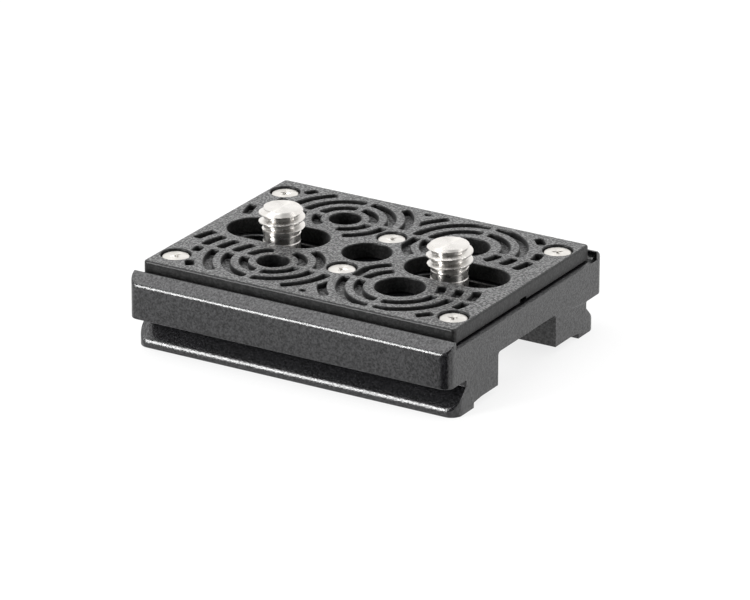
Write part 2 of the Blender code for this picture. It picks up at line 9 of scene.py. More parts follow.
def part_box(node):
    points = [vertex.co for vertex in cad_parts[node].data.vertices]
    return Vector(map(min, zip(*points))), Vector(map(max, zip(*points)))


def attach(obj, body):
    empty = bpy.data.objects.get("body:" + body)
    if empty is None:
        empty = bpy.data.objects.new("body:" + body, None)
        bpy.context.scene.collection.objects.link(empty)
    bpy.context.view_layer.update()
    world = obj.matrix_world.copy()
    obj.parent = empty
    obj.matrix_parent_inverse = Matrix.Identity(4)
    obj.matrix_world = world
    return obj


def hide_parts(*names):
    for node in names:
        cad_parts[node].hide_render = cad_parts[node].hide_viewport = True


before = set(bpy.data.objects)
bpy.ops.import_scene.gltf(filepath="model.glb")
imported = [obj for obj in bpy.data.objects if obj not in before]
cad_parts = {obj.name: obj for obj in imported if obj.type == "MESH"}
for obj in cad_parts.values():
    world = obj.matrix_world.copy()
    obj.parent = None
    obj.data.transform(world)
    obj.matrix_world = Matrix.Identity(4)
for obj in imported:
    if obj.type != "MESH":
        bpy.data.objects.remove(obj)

bl_info = {
    "name": "Quick Release Plate",
    "version": (1, 0, 0),
    "blender": (4, 5, 0),
    "location": "3D View > Sidebar > Quick release",
    "description": "A camera's quick release plate: dovetail plate, grip pad, screws, washers and stage",
    "category": "Add Mesh",
}

MM = 0.001

# In metres, too little to see
HAIR = 1e-6
# How far cutters reach past the surfaces that they open
PAST = 0.5 * MM
WELL_PAST = 1 * MM

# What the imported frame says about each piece's place, so that the pieces below follow it
plate_low, plate_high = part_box("base_plate")
pad_low, pad_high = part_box("grip_pad")
left_screw_low, left_screw_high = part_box("left_camera_screw")
right_screw_low, right_screw_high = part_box("right_camera_screw")
corner_screw_low, corner_screw_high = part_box("pad_screw_back_right")
middle_screw_low, middle_screw_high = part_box("pad_screw_back_middle")


def size(name, millimetres, description):
    """A length that a user may change, written in millimetres and kept in metres."""
    return FloatProperty(name=name, description=description, default=millimetres * MM, min=0.0,
                         precision=5, subtype="DISTANCE", unit="LENGTH")


def direction(name, degrees, description):
    """An angle that a user may change, written in degrees."""
    return FloatProperty(name=name, description=description, default=math.radians(degrees),
                         subtype="ANGLE", unit="ROTATION")


def number(name, value, description, least=0.0, **more):
    """A plain number that a user may change."""
    return FloatProperty(name=name, description=description, default=value, min=least, **more)


def count(name, value, description, least=1):
    """A whole number that a user may change."""
    return IntProperty(name=name, description=description, default=value, min=least)


def from_hex(colour):
    """An sRGB hex value as the linear RGBA that Blender's sockets take."""
    shares = [int(colour[i:i + 2], 16) / 255 for i in (1, 3, 5)]
    return (*[s / 12.92 if s <= 0.04045 else ((s + 0.055) / 1.055) ** 2.4 for s in shares], 1.0)


def tint(name, colour, description):
    """A colour that a user may change, written as sRGB hex."""
    return FloatVectorProperty(name=name, description=description, default=from_hex(colour), size=4,
                               min=0.0, max=1.0, subtype="COLOR")


# Sizes and colours
class PlateSizes(bpy.types.PropertyGroup):
    dovetail_width: size("Dovetail width", 38.0, "Over the two lips that a clamp holds")
    lip_height: size("Lip height", 1.05, "Upright side of each lip, below the 45 degree flank")
    dovetail_depth: size("Dovetail depth", 2.7, "How far the flank runs in, and up, from the lip")
    neck_straight: size("Neck straight", 0.95, "Upright part between the flank and the flange")
    channel_width: size("Channel width", 15.5, "Wide channel between the feet, for the screw heads")
    channel_height: size("Channel height", 5.7, "From the feet to the channel's ceiling")
    channel_fillet: size("Channel fillet", 0.5, "Rounding in the channel's upper corners")
    foot_width: size("Foot width", 4.85, "Flat strip along each side that the plate stands on")
    foot_step: size("Foot step", 0.75, "Height of the step at the foot's inner edge")
    recess_rise: size("Recess rise", 0.22, "How much higher the recess is at its inner end")
    recess_run: size("Recess run", 1.95, "Width of the sloping strip beside the foot")
    web_thickness: size("Web thickness", 4.3, "Between the channel's ceiling and the trough's floor")
    trough_fillet: size("Trough fillet", 0.8, "Rounding at the foot of the trough's walls")
    trough_lip: size("Trough lip", 0.3, "Flat rim along the top of the trough's walls")
    shoulder_run: size("Shoulder run", 1.6, "Width of the slope outside the rim")
    shoulder_rise: size("Shoulder rise", 1.37, "Height of the slope outside the rim")
    edge_radius: size("Edge radius", 0.7, "Rounding of the flange's long upper edges")
    lip_radius: size("Lip radius", 1.0, "Rounding between each lip's side and the flank")
    foot_bevel: size("Foot bevel", 0.2, "Rounding of the lip's lower edge")
    arris: size("Arris", 0.12, "Rounding that blasting leaves on every sharp edge")
    corner_radius: size("Corner radius", 1.35, "Milled rounding of the flange's upright corners")
    lip_corner: size("Lip corner radius", 1.7, "Milled rounding of the lips' upright corners")
    end_bevel_run: size("End bevel run", 0.45, "Length of the bevel on the trough's floor at both ends")
    end_bevel_drop: size("End bevel drop", 0.13, "How far that bevel goes down")
    slot_bridge: size("Slot bridge", 14.0, "Metal between the two slots")
    slot_end_wall: size("Slot end wall", 3.9, "Metal between a slot and the plate's end")
    slot_width: size("Slot width", 6.5, "Width of the slots that the camera screws slide in")
    slot_chamfer: size("Slot chamfer", 0.15, "Chamfer round the slots' edges")
    colour: tint("Anodised colour", "#0D0D0F", "Black anodised aluminium, a touch bluish")


class PadSizes(bpy.types.PropertyGroup):
    corner_radius: size("Corner radius", 0.6, "Rounding of the pad's upright corners")
    edge_radius: size("Edge radius", 0.32, "Rounding of the pad's top edge")
    slot_margin: size("Slot margin", 0.58, "How far the pad's slots stand back from the plate's")
    centre_hole: size("Centre hole", 6.9, "Diameter of the hole in the middle")
    left_hole_x: size("Left holes X", 9.1, "Along the plate, to the left of the middle")
    left_hole_y: size("Left holes Y", 9.35, "Across the plate, on both sides")
    left_hole: size("Left holes", 4.5, "Diameter of the two narrow holes")
    left_first_ring: size("First left ring", 4.0, "Radius of the innermost groove round a narrow hole")
    left_rings: count("Left rings", 5, "Grooves round each narrow hole")
    left_whole_rings: count("Whole left rings", 3, "Those that go all the way round")
    right_hole_x: size("Right holes X", 10.3, "Along the plate, to the right of the middle")
    right_hole_y: size("Right holes Y", 8.6, "Across the plate, on both sides")
    right_hole: size("Right holes", 6.9, "Diameter of the two wide holes")
    right_first_ring: size("First right ring", 5.6, "Radius of the innermost groove round a wide hole")
    right_rings: count("Right rings", 3, "Grooves round each wide hole", least=3)
    ring_pitch: size("Ring pitch", 2.42, "From one groove's middle to the next")
    ring_width: size("Ring width", 1.2, "Width of a groove")
    ring_depth: size("Ring depth", 0.8, "Depth of a groove")
    rib_width: size("Rib width", 1.0, "Ribs along X and Y that part the grooves into quarters")
    outer_rib_width: size("Outer rib width", 4.1, "Rib that parts the outermost left groove")
    end_margin: size("End margin", 0.95, "Plain border at the pad's ends")
    side_margin: size("Side margin", 1.4, "Plain border along the pad's sides")
    slot_land: size("Slot land", 1.5, "Plain border round the slots")
    centre_land: size("Centre land", 1.3, "Plain border round the centre hole")
    screw_land: size("Screw land", 2.45, "Radius of the plain ground round each pad screw")
    shortest_groove: size("Shortest groove", 1.2, "A shorter stretch of a groove is left out")
    pocket_land: size("Pocket land", 1.6, "Ground between the side pocket and the rings")
    pocket_depth: size("Pocket depth", 1.0, "Depth of the three-cornered side pocket across the plate")
    screw_gap: size("Screw gap", 0.2, "Gap all round a pad screw's head")
    notch_width: size("Notch width", 1.7, "Pry notch at the right end's lower edge")
    notch_height: size("Notch height", 0.5, "Height of the pry notch")
    notch_depth: size("Notch depth", 0.6, "How far the pry notch goes in")
    mould_radius: size("Mould radius", 0.17, "Rounding of every edge of the holes and grooves")
    groove_corner: size("Groove corner", 0.38, "Rounding of the grooves' corners, seen from above")
    facet: size("Facet", 0.4, "Longest straight piece in a curved groove")
    colour: tint("Moulded colour", "#101010", "Black moulded rubber")
    tip_colour: tint("Tip colour", "#4E4E4E", "Worn tips of the rubber's grain")


class ScrewSizes(bpy.types.PropertyGroup):
    head: size("Pad screw head", 3.8, "Diameter of a pad screw's head")
    head_rim: size("Head rim", 0.75, "Height of the head's upright side")
    head_dome: size("Head dome", 0.25, "How far the head's top is domed in the packed part")
    head_round: size("Head rounding", 0.16, "Rounding of the head's top edge")
    head_shank: size("Pad screw shank", 2.0, "Diameter of a pad screw's shank")
    recess_span: size("Recess span", 1.9, "Across the cross recess")
    recess_wing: size("Recess wing", 0.38, "Width of the recess's wings")
    recess_depth: size("Recess depth", 1.0, "Depth of the recess")
    thread: size("Thread diameter", 6.35, "Quarter-inch thread, over its crests")
    pitch: size("Thread pitch", 1.27, "20 turns to the inch")
    top_chamfer: size("Top chamfer", 0.62, "Chamfer at the thread's start")
    left_start: number("Left thread start", 0.19, "How the left screw's thread is turned, in turns", max=1.0)
    right_start: number("Right thread start", 0.9, "The same for the right screw's thread", max=1.0)
    runout: size("Run-out height", 0.78, "From the pad's top to the thread's foot")
    ridge: size("Ridge height", 0.12, "What is left of the thread below its foot")
    ridge_length: size("Ridge length", 0.7, "How far that runs down the neck")
    neck: size("Neck diameter", 5.0, "Polished neck under the thread")
    neck_sunk: size("Neck sunk", 0.8, "From the pad's top down to the shank")
    shank: size("Shank diameter", 5.2, "Shank that runs in the slot")
    screw_head_height: size("Camera screw head", 2.6, "Height of the head in the channel")
    head_chamfer: size("Head chamfer", 0.3, "Chamfer of the head's edges")
    coin_slot_width: size("Coin slot width", 1.6, "Slot across the head's underside")
    coin_slot_depth: size("Coin slot depth", 1.2, "Depth of the coin slot")
    washer_gap: size("Washer gap", 0.3, "Between the shank and the washer's bore")
    steel_colour: tint("Polished steel colour", "#C9C6C2", "Stainless steel, a little warm")
    satin_colour: tint("Satin steel colour", "#C8C5C0", "Stainless steel of the pad screws")
    washer_colour: tint("Washer colour", "#B4B4B2", "Plain rolled steel")


class StageSettings(bpy.types.PropertyGroup):
    azimuth: direction("Azimuth", 30.845, "Camera's turn about Z; 0 looks along +Y")
    elevation: direction("Elevation", 21.729, "Camera's height above the horizon")
    roll: direction("Roll", 0.165, "Camera's roll")
    distance: size("Distance", 777.8, "From the camera to the point that it aims at")
    lens: number("Lens", 276.59, "Focal length in millimetres on a 36 mm sensor", least=1.0)
    aim_front: size("Aim front", 0.45, "How far in front of the pad's middle the aim starts")
    aim_right: size("Aim right", 1.3151, "How far right of there the camera aims")
    aim_down: size("Aim down", 6.3241, "How far below there the camera aims")
    floor_size: size("Floor size", 6000.0, "Side of the square floor")
    key_strength: number("Key light", 23.0, "Radiance of the softbox at the front left")
    top_strength: number("Top light", 1.45, "Radiance of the large light overhead")
    side_strength: number("Side light", 5.5, "Radiance of the softbox at the right")
    sky_bright: number("Bright sky", 1.5, "Radiance of the world behind the object")
    sky_dim: number("Dim sky", 0.12, "Radiance of the world on the camera's side")
    floor_colour: tint("Floor colour", "#F6F6F6", "Matt white paper")
    # Colours of the two cards that paint shade into the floor's reflections
    painted_shade_grey_colour: tint("Grey card colour", "#C4C4C4", "Grey card that the long front side reflects")
    painted_shade_dark_colour: tint("Dark card colour", "#0C0C0C", "Black card that the right front corner reflects")
    shadow: number("Shadow", 0.2, "How much of the shadow the camera sees on the floor", max=1.0,
                   subtype="FACTOR")


# Tools
def add_node(tree, kind, inputs=None, **settings):
    """Adds a node with its own settings. An input takes a value, an output, or a node for its first one."""
    made = tree.nodes.new(kind)
    for name, value in settings.items():
        setattr(made, name, value)
    for name, value in (inputs or {}).items():
        if isinstance(value, bpy.types.Node):
            value = value.outputs[0]
        if isinstance(value, bpy.types.NodeSocket):
            tree.links.new(value, made.inputs[name])
        else:
            made.inputs[name].default_value = value
    return made


def new_material(name):
    """An empty node material, with its tree."""
    material = bpy.data.materials.new(name)
    material.use_nodes = True
    material.node_tree.nodes.clear()
    return material, material.node_tree


def cycles_per_metre(grain_mm):
    """Noise scale that gives grains of about this size."""
    return 1.0 / (grain_mm * MM)


def arc(cx, cy, radius, start, end, steps):
    """Points on an arc, both ends included. Angles in degrees."""
    angles = [math.radians(start + (end - start) * i / steps) for i in range(steps + 1)]
    return [(cx + radius * math.cos(a), cy + radius * math.sin(a)) for a in angles]


def corner_arc(corner, before, after, radius, steps):
    """An arc that rounds an outline's corner between two neighbouring points."""
    u, v = Vector(before) - Vector(corner), Vector(after) - Vector(corner)
    u.normalize()
    v.normalize()
    opening = u.angle(v)
    along, reach = radius / math.tan(opening / 2), radius / math.sin(opening / 2)
    centre = Vector(corner) + (u + v).normalized() * reach
    first, last = Vector(corner) + u * along - centre, Vector(corner) + v * along - centre
    start, end = math.atan2(first.y, first.x), math.atan2(last.y, last.x)
    turn = (end - start + math.pi) % (2 * math.pi) - math.pi
    return arc(centre.x, centre.y, radius, math.degrees(start), math.degrees(start + turn), steps)


def grown(outline, distance):
    """An anticlockwise outline with every side moved outwards by one distance."""
    # Keeps the point of a very sharp corner from running far out
    sharpest = 0.2
    moved = []
    for i, here in enumerate(outline):
        a, b, c = Vector(outline[i - 1]), Vector(here), Vector(outline[(i + 1) % len(outline)])
        first, second = (b - a).normalized(), (c - b).normalized()
        n1, n2 = Vector((first.y, -first.x)), Vector((second.y, -second.x))
        n = (n1 + n2) / max(1 + n1.dot(n2), sharpest)
        moved.append((b.x + n.x * distance, b.y + n.y * distance))
    return moved


def lifted(outline, height):
    """An outline in X and Y at a height."""
    return [(x, y, height) for x, y in outline]


def anticlockwise(outline):
    """The same outline, reversed if it runs clockwise."""
    area = sum(a[0] * b[1] - b[0] * a[1] for a, b in zip(outline, outline[1:] + outline[:1]))
    return outline if area > 0 else outline[::-1]


def bridge(bm, loops):
    """Joins each loop of vertices to the next with faces."""
    for lower, upper in zip(loops, loops[1:]):
        for i in range(len(lower)):
            j = (i + 1) % len(lower)
            bm.faces.new((lower[i], lower[j], upper[j], upper[i]))


def skinned(rings, bm=None):
    """A closed solid through rings of equally many 3-D points, capped at both ends."""
    bm = bm or bmesh.new()
    loops = [[bm.verts.new(p) for p in ring] for ring in rings]
    bridge(bm, loops)
    caps = [bm.faces.new(loops[0][::-1]), bm.faces.new(loops[-1])]
    for cap in caps:
        cap.normal_update()
    bmesh.ops.triangulate(bm, faces=caps, ngon_method="EAR_CLIP")
    return bm


def circle_loops(bm, profile, steps, place=(0, 0)):
    """A loop of vertices about Z for each (radius, height)."""
    angles = [2 * math.pi * i / steps for i in range(steps)]
    return [[bm.verts.new((place[0] + radius * math.cos(a), place[1] + radius * math.sin(a), height))
             for a in angles] for radius, height in profile]


def turned(profile, steps, bm=None, place=(0, 0)):
    """A profile of (radius, height) from its foot up, turned about Z. It starts and ends on the axis."""
    bm = bm or bmesh.new()
    foot = bm.verts.new((*place, profile[0][1]))
    tip = bm.verts.new((*place, profile[-1][1]))
    loops = circle_loops(bm, profile[1:-1], steps, place)
    bridge(bm, loops)
    for i in range(steps):
        j = (i + 1) % steps
        bm.faces.new((foot, loops[0][j], loops[0][i]))
        bm.faces.new((tip, loops[-1][i], loops[-1][j]))
    return bm


def new_piece(name, bm):
    """A new object in the scene from a finished bmesh, which is freed."""
    mesh = bpy.data.meshes.new(name)
    bm.normal_update()
    bm.to_mesh(mesh)
    bm.free()
    made = bpy.data.objects.new(name, mesh)
    bpy.context.scene.collection.objects.link(made)
    return made


def cut(target, bm, solver="MANIFOLD"):
    """Cuts a solid out of a piece and keeps the result as its mesh."""
    tool = new_piece("cutter", bm)
    step = target.modifiers.new("cut", "BOOLEAN")
    step.operation = "DIFFERENCE"
    step.solver = solver
    step.object = tool
    bpy.context.view_layer.update()
    shape = bpy.data.meshes.new_from_object(target.evaluated_get(bpy.context.evaluated_depsgraph_get()))
    target.modifiers.clear()
    old, target.data = target.data, shape
    bpy.data.meshes.remove(old)
    shape.name = target.name
    bpy.data.objects.remove(tool)
    if not len(shape.polygons):
        raise RuntimeError(target.name + " vanished in a cut")


def dress(piece, material, body, nodes, sharp_angle=35):
    """Shades a finished piece, hides the nodes that it stands for and hangs it on the empty of the body that
    it rides on.
    """
    piece.data.materials.clear()
    piece.data.materials.append(material)
    piece.data.shade_smooth()
    piece.data.set_sharp_from_angle(angle=math.radians(sharp_angle))
    weighted = piece.modifiers.new("even flats", "WEIGHTED_NORMAL")
    weighted.keep_sharp = True
    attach(piece, body)
    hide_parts(*nodes)


# Materials
def anodised_aluminium(colour):
    """Extruded and milled aluminium, bead-blasted, then black anodised.

    The oxide film is glassy and clear over a dyed layer, so it is a dielectric with a satin gloss. Blasting
    leaves dimples of less than 0.1 mm, which break every highlight into fine sparkle. They are drawn about
    three times as coarse, so that they show.
    """
    material, tree = new_material("Black anodised aluminium, bead-blasted")
    place = add_node(tree, "ShaderNodeTexCoord")
    dimples = add_node(tree, "ShaderNodeTexNoise", {
        "Vector": place.outputs["Object"], "Scale": cycles_per_metre(0.28), "Detail": 1.0, "Roughness": 0.6})
    contrast = add_node(tree, "ShaderNodeMapRange", {"Value": dimples, "From Min": 0.3, "From Max": 0.7})
    bump = add_node(tree, "ShaderNodeBump", {"Height": contrast, "Strength": 1.0, "Distance": 0.014 * MM})
    # A dimple hides part of its own reflection
    shine = add_node(tree, "ShaderNodeMapRange", {"Value": contrast, "To Min": 0.32, "To Max": 0.7})
    shade = add_node(tree, "ShaderNodeMixRGB", {
        "Fac": contrast, "Color1": [c * 0.4 for c in colour[:3]] + [1],
        "Color2": [c * 2.0 for c in colour[:3]] + [1]})
    shader = add_node(tree, "ShaderNodeBsdfPrincipled", {
        "Base Color": shade, "Roughness": 0.25, "IOR": 1.6, "Specular IOR Level": shine, "Normal": bump})
    add_node(tree, "ShaderNodeOutputMaterial", {"Surface": shader})
    return material


def moulded_rubber(colour, tip_colour):
    """Hard rubber from a spark-eroded mould: its level faces are covered in grains whose tips are pale.

    The grains are about 0.3 mm across. The sides, which slid out of the mould, are nearly smooth.
    """
    material, tree = new_material("Moulded rubber, spark-eroded grain")
    place = add_node(tree, "ShaderNodeTexCoord")
    grain = add_node(tree, "ShaderNodeTexNoise", {
        "Vector": place.outputs["Object"], "Scale": cycles_per_metre(0.34), "Detail": 1.5, "Roughness": 0.6})
    # Only faces that look up have the full grain
    facing = add_node(tree, "ShaderNodeSeparateXYZ", {"Vector": place.outputs["Normal"]})
    upward = add_node(tree, "ShaderNodeMapRange", {
        "Value": facing.outputs["Z"], "From Min": 0.9, "From Max": 0.985, "To Min": 0.1})
    tips = add_node(tree, "ShaderNodeMapRange", {
        "Value": grain, "From Min": 0.46, "From Max": 0.6, "To Max": upward})
    bump = add_node(tree, "ShaderNodeBump", {"Height": tips, "Strength": 1.0, "Distance": 0.05 * MM})
    shine = add_node(tree, "ShaderNodeMapRange", {"Value": tips, "To Min": 0.24, "To Max": 0.75})
    shade = add_node(tree, "ShaderNodeMixRGB", {"Fac": tips, "Color1": colour, "Color2": tip_colour})
    shader = add_node(tree, "ShaderNodeBsdfPrincipled", {
        "Base Color": shade, "Roughness": 0.36, "IOR": 1.5,
        "Specular IOR Level": shine, "Sheen Weight": 0.13, "Sheen Roughness": 0.35,
        "Normal": bump})
    add_node(tree, "ShaderNodeOutputMaterial", {"Surface": shader})
    return material


def turned_steel(name, colour, roughness, line_mm, strength):
    """Steel turned on a lathe: fine lines run round the axis and draw each highlight out along it."""
    material, tree = new_material(name)
    place = add_node(tree, "ShaderNodeTexCoord")
    spread = add_node(tree, "ShaderNodeSeparateXYZ", {"Vector": place.outputs["Object"]})
    radius = add_node(tree, "ShaderNodeVectorMath", {
        0: add_node(tree, "ShaderNodeCombineXYZ", {
            "X": spread.outputs["X"], "Y": spread.outputs["Y"]})}, operation="LENGTH")
    along = add_node(tree, "ShaderNodeCombineXYZ", {
        "X": radius.outputs["Value"], "Z": spread.outputs["Z"]})
    lines = add_node(tree, "ShaderNodeTexNoise", {
        "Vector": along, "Scale": cycles_per_metre(line_mm), "Detail": 2.0})
    bump = add_node(tree, "ShaderNodeBump", {"Height": lines, "Strength": strength, "Distance": 0.01 * MM})
    wear = add_node(tree, "ShaderNodeTexNoise", {
        "Vector": place.outputs["Object"], "Scale": cycles_per_metre(0.9), "Detail": 4.0})
    gloss = add_node(tree, "ShaderNodeMapRange", {
        "Value": wear, "From Min": 0.3, "From Max": 0.7, "To Min": roughness * 0.85,
        "To Max": roughness * 1.25})
    shader = add_node(tree, "ShaderNodeBsdfPrincipled", {
        "Base Color": colour, "Metallic": 1.0, "Roughness": gloss, "Anisotropic": 0.92,
        "Anisotropic Rotation": 0.25, "Normal": bump,
        "Tangent": add_node(tree, "ShaderNodeTangent", direction_type="RADIAL", axis="Z")})
    add_node(tree, "ShaderNodeOutputMaterial", {"Surface": shader})
    return material


def white_paper(colour, shadow):
    """Matt white paper. Camera and reflections see it mostly as plain white, so the shadow stays faint."""
    material, tree = new_material("White background paper")
    paper = add_node(tree, "ShaderNodeBsdfPrincipled", {
        "Base Color": colour, "Roughness": 0.95, "Specular IOR Level": 0.1})
    path = add_node(tree, "ShaderNodeLightPath")
    seen = add_node(tree, "ShaderNodeMath", {
        0: path.outputs["Is Camera Ray"], 1: path.outputs["Is Glossy Ray"]}, operation="MAXIMUM")
    seen = add_node(tree, "ShaderNodeMath", {
        0: seen, 1: path.outputs["Is Transmission Ray"]}, operation="MAXIMUM")
    share = add_node(tree, "ShaderNodeMath", {0: seen, 1: 1.0 - shadow}, operation="MULTIPLY")
    white = add_node(tree, "ShaderNodeEmission", {"Color": from_hex("#FFFFFF"), "Strength": 1.0})
    mixed = add_node(tree, "ShaderNodeMixShader", {"Fac": share, 1: paper, 2: white})
    add_node(tree, "ShaderNodeOutputMaterial", {"Surface": mixed})
    return material


def matt_card(name, colour):
    """Matt card, which spreads all the light that it throws back, used for the cards of painted shade."""
    material, tree = new_material(name)
    shader = add_node(tree, "ShaderNodeBsdfPrincipled", {"Base Color": colour, "Roughness": 0.9})
    add_node(tree, "ShaderNodeOutputMaterial", {"Surface": shader})
    return material


# Base plate
def room_for_rounding(outer, inner):
    """The largest rounding that fits where a milled corner leaves little of a slope."""
    least = 0.05 * MM
    return max(outer - inner, least)


def plate_outline(s, flange_half, lip_half):
    """The extrusion's section in Y and Z, where milled corners may have drawn the flange and lips in."""
    dovetail_half = s.dovetail_width / 2
    neck_half = dovetail_half - s.dovetail_depth
    channel_half = s.channel_width / 2
    foot_inner = dovetail_half - s.foot_width
    recess = s.foot_step + s.recess_rise
    flank_foot = s.lip_height + dovetail_half - lip_half
    flank_top = s.lip_height + s.dovetail_depth
    underside = flank_top + s.neck_straight
    floor = s.channel_height + s.web_thickness
    rim = plate_high.z
    rim_outer = plate_high.y - s.shoulder_run
    rim_inner = rim_outer - s.trough_lip
    milled_off = plate_high.y - flange_half
    shoulder = rim - s.shoulder_rise + milled_off * s.shoulder_rise / s.shoulder_run
    lip_rounding = min(s.lip_radius, room_for_rounding(lip_half, neck_half))
    edge_rounding = min(s.edge_radius, room_for_rounding(flange_half, rim_outer))
    # Each corner's place, its rounding and how many straight pieces make that
    corners = [
        (channel_half, s.channel_height, s.channel_fillet, 8),
        (channel_half, recess, s.arris, 4),
        (foot_inner - s.recess_run, recess, 0, 0),
        (foot_inner, s.foot_step, s.arris, 4),
        (foot_inner, 0, s.arris, 4),
        (lip_half, 0, s.foot_bevel, 5),
        (lip_half, flank_foot, lip_rounding, 8),
        (neck_half, flank_top, s.arris, 3),
        (neck_half, underside, s.foot_bevel, 6),
        (flange_half, underside, s.foot_bevel, 6),
        (flange_half, shoulder, edge_rounding, 8),
        (rim_outer, rim, s.arris, 4),
        (rim_inner, rim, s.arris, 4),
        (rim_inner, floor, s.trough_fillet, 8),
    ]
    half = []
    places = [(0, s.channel_height)] + [corner[:2] for corner in corners] + [(0, floor)]
    for i, (y, z, radius, steps) in enumerate(corners):
        if radius:
            half += corner_arc((y, z), places[i], places[i + 2], radius, steps)
        else:
            half.append((y, z))
    return half + [(-y, z) for y, z in reversed(half)]


def drawn_in(x, end, radius):
    """How far a milled corner of this radius draws an edge in at a station along X."""
    share = min(max((x - end + radius) / radius, 0.0), 1.0)
    return radius - radius * math.sqrt(1 - share * share)


def plate_rings(s):
    """The plate's section at each station along X, drawn in at the milled corners and the end faces."""
    # The sawn ends' edges are a little sharper than the long ones
    end, arris = plate_high.x, s.arris * 0.7
    reach = max(s.corner_radius, s.lip_corner)
    corner_steps, arris_steps = 10, 4
    stations = []
    for i in range(corner_steps + 1):
        turn = math.asin((reach - arris) / reach) * i / corner_steps
        stations.append((end - reach + reach * math.sin(turn), 0.0))
    for i in range(1, arris_steps + 1):
        turn = math.pi / 2 * i / arris_steps
        stations.append((end - arris + arris * math.sin(turn), arris * (1 - math.cos(turn))))
    rings = []
    for side in (-1, 1):
        for x, inset in stations[::side]:
            outline = plate_outline(s, plate_high.y - drawn_in(x, end, s.corner_radius),
                                    s.dovetail_width / 2 - drawn_in(x, end, s.lip_corner))
            rings.append([(side * x, y, z) for y, z in grown(outline, -inset)])
    return rings


def end_bevels(s, floor):
    """Two wedges that bevel the trough's floor at the plate's ends, ready to be cut away."""
    off_wall = 0.02 * MM
    half = plate_high.y - s.shoulder_run - s.trough_lip - off_wall
    slope = s.end_bevel_drop / s.end_bevel_run
    inner, outer = plate_high.x - s.end_bevel_run, plate_high.x + WELL_PAST
    section = [(inner, floor), (outer, floor - slope * (outer - inner)), (outer, floor + WELL_PAST),
               (inner, floor + WELL_PAST)]
    wedges = bmesh.new()
    for side in (-1, 1):
        skinned([[(side * x, side * y, z) for x, z in section] for y in (half, -half)], wedges)
    return wedges


def slot_ends(plate):
    """Where each slot of the plate starts and ends, from the middle outwards."""
    return plate.slot_bridge / 2, plate_high.x - plate.slot_end_wall


def add_slots(bm, plate, levels):
    """Adds both slots to a cutter. Each level is a height, and how far outside the plate's slot it runs."""
    inner, outer = slot_ends(plate)
    steps = 32
    for side in (-1, 1):
        rings = []
        for height, wider in levels:
            near, far = sorted((side * (inner - wider), side * (outer + wider)))
            radius = plate.slot_width / 2 + wider
            rings.append(lifted(arc(far - radius, 0, radius, -90, 90, steps)
                                + arc(near + radius, 0, radius, 90, 270, steps), height))
        skinned(rings, bm)


def screw_places():
    """Where the six pad screws stand, with each node's name."""
    corner = (corner_screw_low + corner_screw_high) / 2
    middle = (middle_screw_low + middle_screw_high) / 2
    return [("back_left", -corner.x, corner.y), ("back_right", corner.x, corner.y),
            ("front_left", -corner.x, -corner.y), ("front_right", corner.x, -corner.y),
            ("back_middle", middle.x, middle.y), ("front_middle", middle.x, -middle.y)]


class QRP_OT_add_base_plate(bpy.types.Operator):
    """Adds the dovetail plate: a lofted extrusion with milled corners, two slots and six blind holes"""
    bl_idname = "quick_release.add_base_plate"
    bl_label = "Base plate"

    def execute(self, context):
        s, pad, screws = context.scene.qrp_plate, context.scene.qrp_pad, context.scene.qrp_screws
        plate = new_piece("dovetail_plate", skinned(plate_rings(s)))
        ceiling, floor = s.channel_height, s.channel_height + s.web_thickness
        cutters = bmesh.new()
        add_slots(cutters, s, (
            (ceiling - WELL_PAST, WELL_PAST + s.slot_chamfer), (ceiling + s.slot_chamfer, 0),
            (floor - s.slot_chamfer, 0), (floor + PAST, PAST + s.slot_chamfer)))
        hole, chamfer, below_screw = screws.head_shank / 2 + pad.screw_gap, 0.1 * MM, 0.3 * MM
        foot = corner_screw_low.z - below_screw
        profile = [(0, foot), (hole, foot), (hole, floor - chamfer), (hole + chamfer + PAST, floor + PAST),
                   (0, floor + PAST)]
        for _, x, y in screw_places():
            turned(profile, 40, cutters, (x, y))
        cut(plate, cutters)
        cut(plate, end_bevels(s, floor))
        dress(plate, anodised_aluminium(s.colour), "plate", ["base_plate"])
        return {"FINISHED"}


# Grip pad
def ground_is_free(s, plate, x, y):
    """Whether a ring groove may reach a point of the pad."""
    inner, outer = slot_ends(plate)
    half_width = plate.slot_width / 2
    short_of_slot = inner + half_width - abs(x)
    past_slot = abs(x) - outer + half_width
    return (abs(x) <= pad_high.x - s.end_margin
            and abs(y) <= pad_high.y - s.side_margin
            and math.hypot(max(short_of_slot, past_slot, 0), y)
            >= half_width + s.slot_margin + s.slot_land
            and math.hypot(x, y) >= s.centre_hole / 2 + s.centre_land
            and all(math.hypot(x - sx, y - sy) >= s.screw_land for _, sx, sy in screw_places()))


def free_runs(is_free, samples=180):
    """The stretches of a quarter ring, from 0 to 1 along it, in which a test holds."""
    runs, inside = [], False
    for step in range(samples + 1):
        along = step / samples
        if not is_free(along):
            inside = False
        elif inside:
            runs[-1][1] = along
        else:
            runs.append([along, along])
            inside = True
    return runs


def rival_limit(hole, angle, rival, reach):
    """How far from a hole a ray runs before it meets the rings round its rival."""
    dx, dy = rival[0] - hole[0], rival[1] - hole[1]
    along = dx * math.cos(angle) + dy * math.sin(angle)
    across_squared = dx * dx + dy * dy - along * along
    if along <= 0 or across_squared >= reach * reach:
        return math.inf
    return along - math.sqrt(reach * reach - across_squared)


